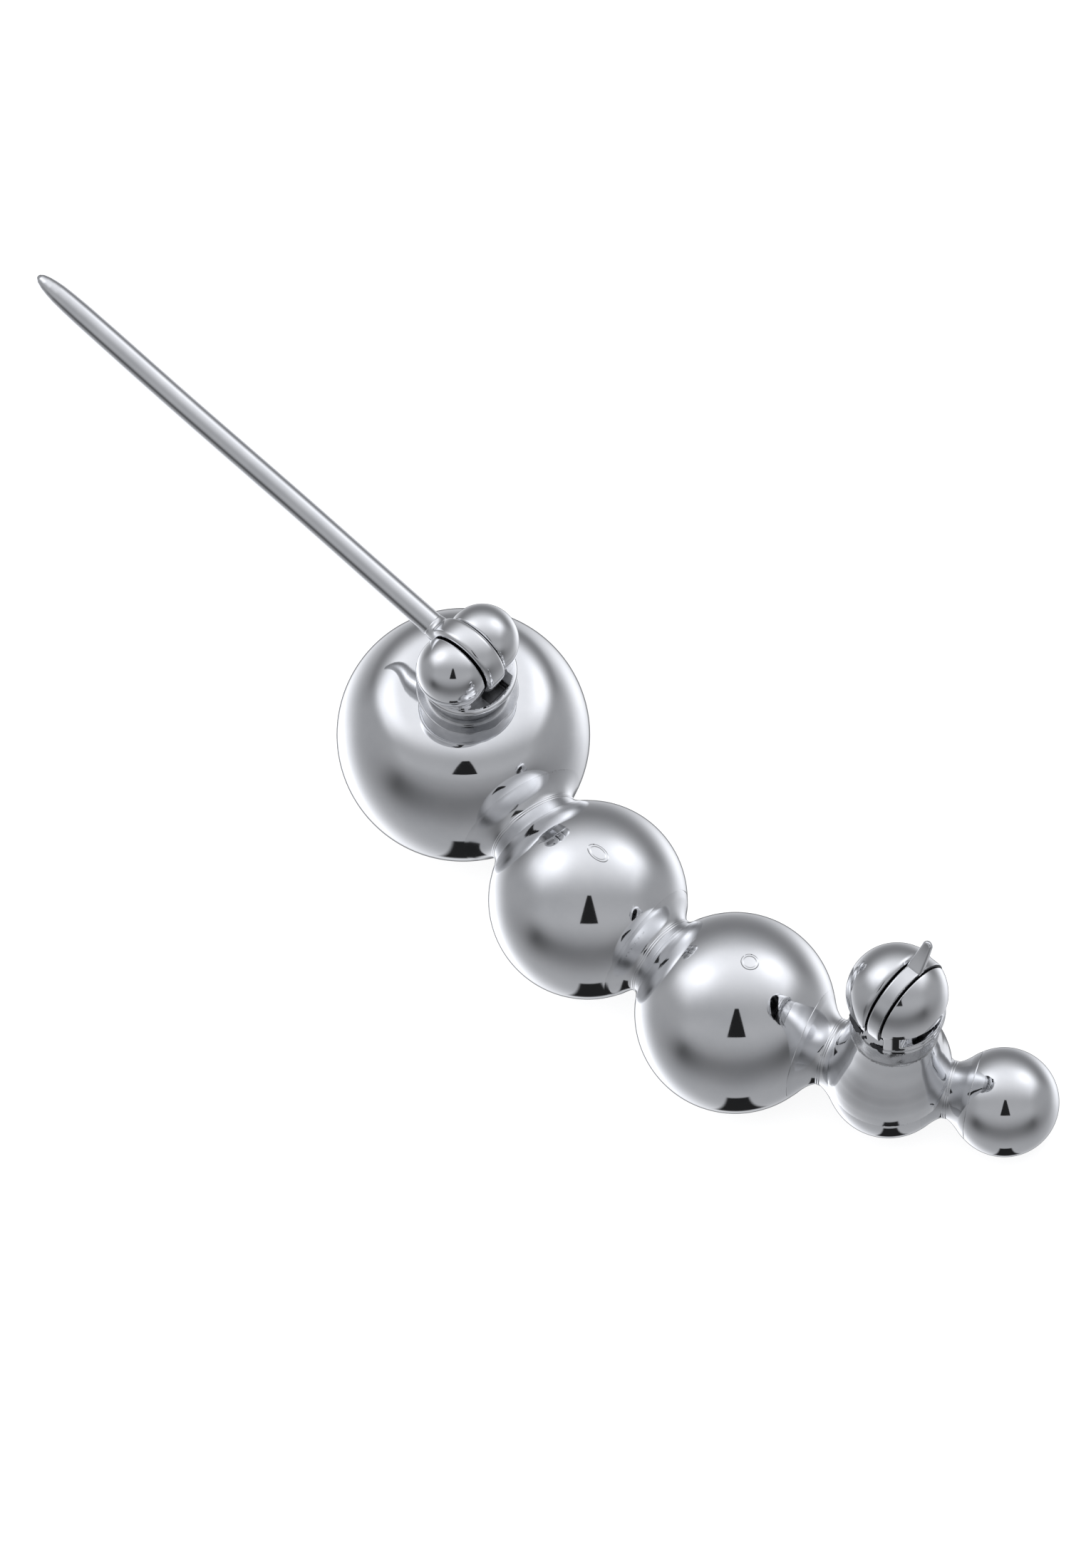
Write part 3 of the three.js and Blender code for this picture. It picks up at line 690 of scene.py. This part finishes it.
def spline(xs, ys):
    """Monotone cubic through the bell's stations."""
    dx, dy = np.diff(xs), np.diff(ys)
    s = dy / dx
    t = np.zeros(len(xs))
    t[0], t[-1] = s[0], s[-1]
    for k in range(1, len(xs) - 1):
        t[k] = 0 if s[k - 1] * s[k] <= 0 else 2 * s[k - 1] * s[k] / (s[k - 1] + s[k])

    def at(x):
        x = np.clip(x, xs[0], xs[-1])
        k = np.clip(np.searchsorted(xs, x) - 1, 0, len(xs) - 2)
        u = (x - xs[k]) / dx[k]
        return (ys[k] * (1 + 2 * u) * (1 - u) ** 2 + t[k] * dx[k] * u * (1 - u) ** 2
                + ys[k + 1] * u * u * (3 - 2 * u) - t[k + 1] * dx[k] * u * u * (1 - u))
    return at


bell_r = spline(BELL[:, 0], BELL[:, 1])
PED_TOP = -1.93


def f_bell(x, y, z):
    t = np.clip((PED_TOP - z) / (PED_TOP + 8.4), 0, 1)
    rho = np.hypot(x - t * B4[0], y - t * B4[1])
    # the solder runs down to a fine lip where the polished bell begins
    lip = np.clip((z + 3.52) / 0.10, 0, 1)
    g = (rho - bell_r(z) + 0.055 * lip) * 0.97 - 0.020 * lip * rough_field(x, y, z, 4.5)
    g = smax(g, z - PED_TOP, 0.06)
    g = smin(g, sphere(x, y, z, B4, 3.15 * 0.9978 - 0.012), 0.12)
    g = np.maximum(g, -8.15 - z)
    g = np.maximum(g, -sphere(x, y, z, B4, 2.7))
    g = smax(g, -f_slot(x, y, z), 0.04)
    return smax(g, -f_mouth(x, y, z, 0.97), 0.10)


HB = max(H, 0.06)
v, q, n = net(f_bell, (-3.6, -3.7, -8.35), (3.4, 3.2, -1.75), HB)


def soldered(x, y, z):
    return (z > -3.47) & ~(f_mouth(x, y, z, 0.97) < 0.03)


add_piece("silver_catch_pedestal", v, q, "bar", ["catch_pedestal"], m_bright, n, CATCH, (m_solder, soldered))


def f_bead(x, y, z):
    rho = np.hypot(x, y)
    g = np.hypot(rho - 2.20, (z + 2.05) * 0.85) - 0.17
    g = g + 0.055 * rough_field(x, y, z, 6.0) + 0.03 * rough_field(z, x, y, 13.0)
    g = smax(g, z + 1.90, 0.03)
    return smax(g, -f_mouth(x, y, z, 0.97, 0.62), 0.06)


v, q, n = net(f_bead, (-2.65, -2.65, -2.5), (2.65, 2.65, -1.8), 0.04)
# the solder bead's faces in the mouth carry the painted shade
add_piece("silver_pedestal_solder_bead", v, q, "bar", ["pedestal_solder_bead"], m_solder, n, CATCH, (m_painted_shade, in_catch_painted_shade))


def f_rotor(x, y, z):
    rho = np.hypot(y, z)
    g = smax(rho - 2.45, np.abs(x - 0.5) - 0.4, 0.12)
    g = smax(g, 0.75 - rho, 0.06)
    return smax(g, -f_mouth(x, y, z, 3.0), 0.08)


v, q, n = net(f_rotor, (0.0, -2.6, -2.6), (1.0, 2.6, 2.6), H)
# the rotor's bore and side faces, between the catch cheeks, carry the painted shade
add_piece("silver_catch_rotor", v, q, "rotor", ["catch_rotor"], m_satin, n, CATCH,
          (m_painted_shade, lambda x, y, z: (np.hypot(y, z) < 2.28) | (x < 0.14) | (x > 0.86)))

LBASE, LLEAN = math.radians(71), math.radians(48)


def f_lever(x, y, z):
    dy, dz = y - math.cos(LBASE) * 2.45, z - math.sin(LBASE) * 2.45
    u = dy * math.cos(LLEAN) + dz * math.sin(LLEAN)
    w = -dy * math.sin(LLEAN) + dz * math.cos(LLEAN)
    bx = x - 0.5
    half = 0.43 - 0.115 * np.clip(u, 0, 1.4)           # tapers from the rotor to the finger end
    w = w - 0.05 * np.clip(u, 0, 2) ** 2 + 0.10 * bx * bx
    end = 1.70 - 0.28
    plan = np.where(u > end, np.hypot(bx, u - end) - half, np.abs(bx) - half)
    g = smax(plan, np.abs(w) - 0.22 + 0.04 * np.clip(u, 0, 2), 0.14)
    g = smax(g, -0.42 - u, 0.02)
    root = smax(np.hypot(y, z) - 2.44, np.abs(bx) - 0.36, 0.05)
    return smax(g, -(np.hypot(y, z) - 2.33), 0.02)


v, q, n = net(f_lever, (0.0, 0.1, 1.6), (1.0, 2.6, 4.2), 0.04)
add_piece("silver_catch_lever", v, q, "rotor", ["catch_lever"], m_bright, n, CATCH)

# ------------------------------------------------------------------ floor
bpy.ops.mesh.primitive_plane_add(size=4.0, location=(0, 0, 0))
floor = bpy.context.object
floor.name = "floor"
fm = bpy.data.materials.new("floor")
fm.use_nodes = True
fb = fm.node_tree.nodes["Principled BSDF"]
fb.inputs["Base Color"].default_value = (0.30, 0.30, 0.302, 1)
fb.inputs["Emission Color"].default_value = (1.0, 1.0, 1.0, 1)
fb.inputs["Emission Strength"].default_value = 0.84       # lit from below, as a light table
fb.inputs["Roughness"].default_value = 0.9
fb.inputs["Specular IOR Level"].default_value = 0.1
floor.data.materials.append(fm)
floor.visible_glossy = False

# ------------------------------------------------------------------ light tent
world = bpy.data.worlds.new("tent")
bpy.context.scene.world = world
world.use_nodes = True
wt = world.node_tree
wt.nodes.clear()
w_out = node(wt, "ShaderNodeOutputWorld")
w_bg = node(wt, "ShaderNodeBackground")
wt.links.new(w_bg.outputs[0], w_out.inputs[0])
w_tc = node(wt, "ShaderNodeTexCoord")


def W(op, a, b=None, c=None, clamp=False):
    n_ = node(wt, "ShaderNodeMath", operation=op, use_clamp=clamp)
    for k_, val in enumerate((a, b, c)):
        if val is None:
            continue
        if isinstance(val, (int, float)):
            n_.inputs[k_].default_value = float(val)
        else:
            wt.links.new(val, n_.inputs[k_])
    return n_.outputs[0]


def wdot(vec):
    n_ = node(wt, "ShaderNodeVectorMath", operation="DOT_PRODUCT")
    wt.links.new(w_tc.outputs["Generated"], n_.inputs[0])
    n_.inputs[1].default_value = tuple(float(t) for t in vec)
    return n_.outputs["Value"]


def smooth(val, lo_, hi_):
    n_ = node(wt, "ShaderNodeMapRange", interpolation_type="SMOOTHSTEP")
    wt.links.new(val, n_.inputs["Value"])
    n_.inputs["From Min"].default_value, n_.inputs["From Max"].default_value = lo_, hi_
    return n_.outputs["Result"]


def lin(level):
    c_ = level / 255.0
    return c_ / 12.92 if c_ <= 0.04045 else ((c_ + 0.055) / 1.055) ** 2.4


dR, dU, dV = wdot(vR), wdot(vU), wdot(vV)
# vertical sweep of the tent: angle in the up/towards plane
beta = W("ARCTAN2", dU, dV)                     # 0 towards the camera, +90 up, -90 down
ramp = node(wt, "ShaderNodeValToRGB")
ramp.color_ramp.interpolation = "B_SPLINE"
stops = [(-180, 180), (-150, 155), (-116, 160), (-97, 148), (-80, 118), (-64, 106), (-52, 134), (-38, 158), (-22, 166), (0, 156), (14, 168), (29, 198), (45, 222), (58, 232), (74, 226), (88, 182), (105, 134), (122, 116), (140, 132), (160, 160), (180, 180)]
els = ramp.color_ramp.elements
for k_, (deg_, val) in enumerate(stops):
    p_ = (deg_ + 180) / 360
    e_ = els[0] if k_ == 0 else els[-1] if k_ == len(stops) - 1 else els.new(p_)
    e_.position = p_
    g_ = lin(val) / 0.90
    e_.color = (g_, g_, g_, 1)
fac = W("MULTIPLY_ADD", beta, 1 / (2 * math.pi), 0.5)
wt.links.new(fac, ramp.inputs["Fac"])
sweep = node(wt, "ShaderNodeSeparateColor")
wt.links.new(ramp.outputs["Color"], sweep.inputs[0])
# the sweep's poles, straight left and right, fade into even side walls
pole = smooth(W("ABSOLUTE", dR), 0.78, 0.98)
base = W("MULTIPLY_ADD", pole, W("SUBTRACT", lin(150) / 0.90, sweep.outputs[0]), sweep.outputs[0])


def cam_dir(u_, w_):
    """Direction that a ball mirrors at (u, w) of its radius from its centre in the picture."""
    q_ = math.sqrt(max(0.0, 1 - u_ * u_ - w_ * w_))
    d_ = 2 * q_ * (vR * u_ + vU * w_ + vV * q_) - vV
    return d_ / np.linalg.norm(d_)


def lobe(total, direction, width_deg, gain):
    """Adds a soft round patch of light (or shade, when gain is negative)."""
    d_ = wdot(direction)
    k_ = 1.0 / (1 - math.cos(math.radians(width_deg)))
    e_ = W("EXPONENT", W("MULTIPLY", W("SUBTRACT", d_, 1.0), k_))
    return W("ADD", total, W("MULTIPLY", e_, gain))


total = base
total = lobe(total, cam_dir(-0.33, 0.37), 17, 0.46)       # left softbox
total = lobe(total, cam_dir(0.37, 0.46), 16, 0.44)        # right softbox
total = lobe(total, cam_dir(-0.58, -0.42), 20, -0.13)     # dark lower left
total = lobe(total, cam_dir(0.60, -0.45), 22, -0.14)      # dark lower right
total = lobe(total, -vV * 0.883 - vR * 0.449 - vU * 0.137, 23, 1.15)  # bright paper behind, left
total = lobe(total, -vV * 0.819 + vR * 0.520 + vU * 0.243, 20, 0.70)  # bright paper behind, right
total = W("MAXIMUM", total, 0.03)
rim = smooth(W("MULTIPLY", dV, -1.0), 0.940, 0.990)
total = W("MULTIPLY_ADD", rim, W("SUBTRACT", 0.20, total), total)
# dark opening that the camera looks through: a tapered slot under the view axis
invV = W("DIVIDE", 1.0, W("MAXIMUM", dV, 0.05))
gx, gy = W("MULTIPLY", dR, invV), W("MULTIPLY", dU, invV)
half_w = W("MULTIPLY_ADD", gy, -0.27, 0.062)
side = W("SUBTRACT", half_w, W("ABSOLUTE", W("SUBTRACT", gx, 0.025)))
m1 = smooth(side, -0.012, 0.012)
m2 = smooth(gy, 0.10, 0.075)
m3 = smooth(gy, -0.545, -0.52)
hole = W("MULTIPLY", W("MULTIPLY", m1, m2), W("MULTIPLY", m3, smooth(dV, 0.05, 0.1)))
# dark foot opening low behind the object
b1 = smooth(W("SUBTRACT", 0.118, W("ABSOLUTE", W("SUBTRACT", dR, 0.03))), -0.02, 0.02)
b2 = smooth(beta, math.radians(-113), math.radians(-116))
b3 = smooth(beta, math.radians(-158), math.radians(-150))
foot = W("MULTIPLY", W("MULTIPLY", b1, b2), b3)
dark = W("MAXIMUM", hole, foot)
level = W("MULTIPLY_ADD", dark, W("SUBTRACT", 0.016, total), total)
tint = node(wt, "ShaderNodeCombineColor")
wt.links.new(W("MULTIPLY", level, 0.975), tint.inputs[0])
wt.links.new(W("MULTIPLY", level, 0.99), tint.inputs[1])
wt.links.new(W("MULTIPLY", level, 1.03), tint.inputs[2])
wt.links.new(tint.outputs[0], w_bg.inputs["Color"])


# lights that only fill the floor: the silver mirrors the tent instead
def area(name, where, size, power):
    d_ = bpy.data.lights.new(name, "AREA")
    d_.shape, d_.size, d_.energy = "DISK", size, power
    o_ = bpy.data.objects.new(name, d_)
    bpy.context.scene.collection.objects.link(o_)
    o_.location = where
    o_.rotation_mode = "QUATERNION"
    o_.rotation_quaternion = (-Vector(where)).to_track_quat("-Z", "Y")
    o_.visible_glossy = False
    return o_


area("fill_top", (0.05, 0.1, 0.9), 1.0, 7.0)
area("fill_left", (-0.8, -0.5, 0.7), 0.8, 3.0)

bpy.context.scene.view_settings.view_transform = "Standard"
bpy.context.scene.view_settings.look = "None"
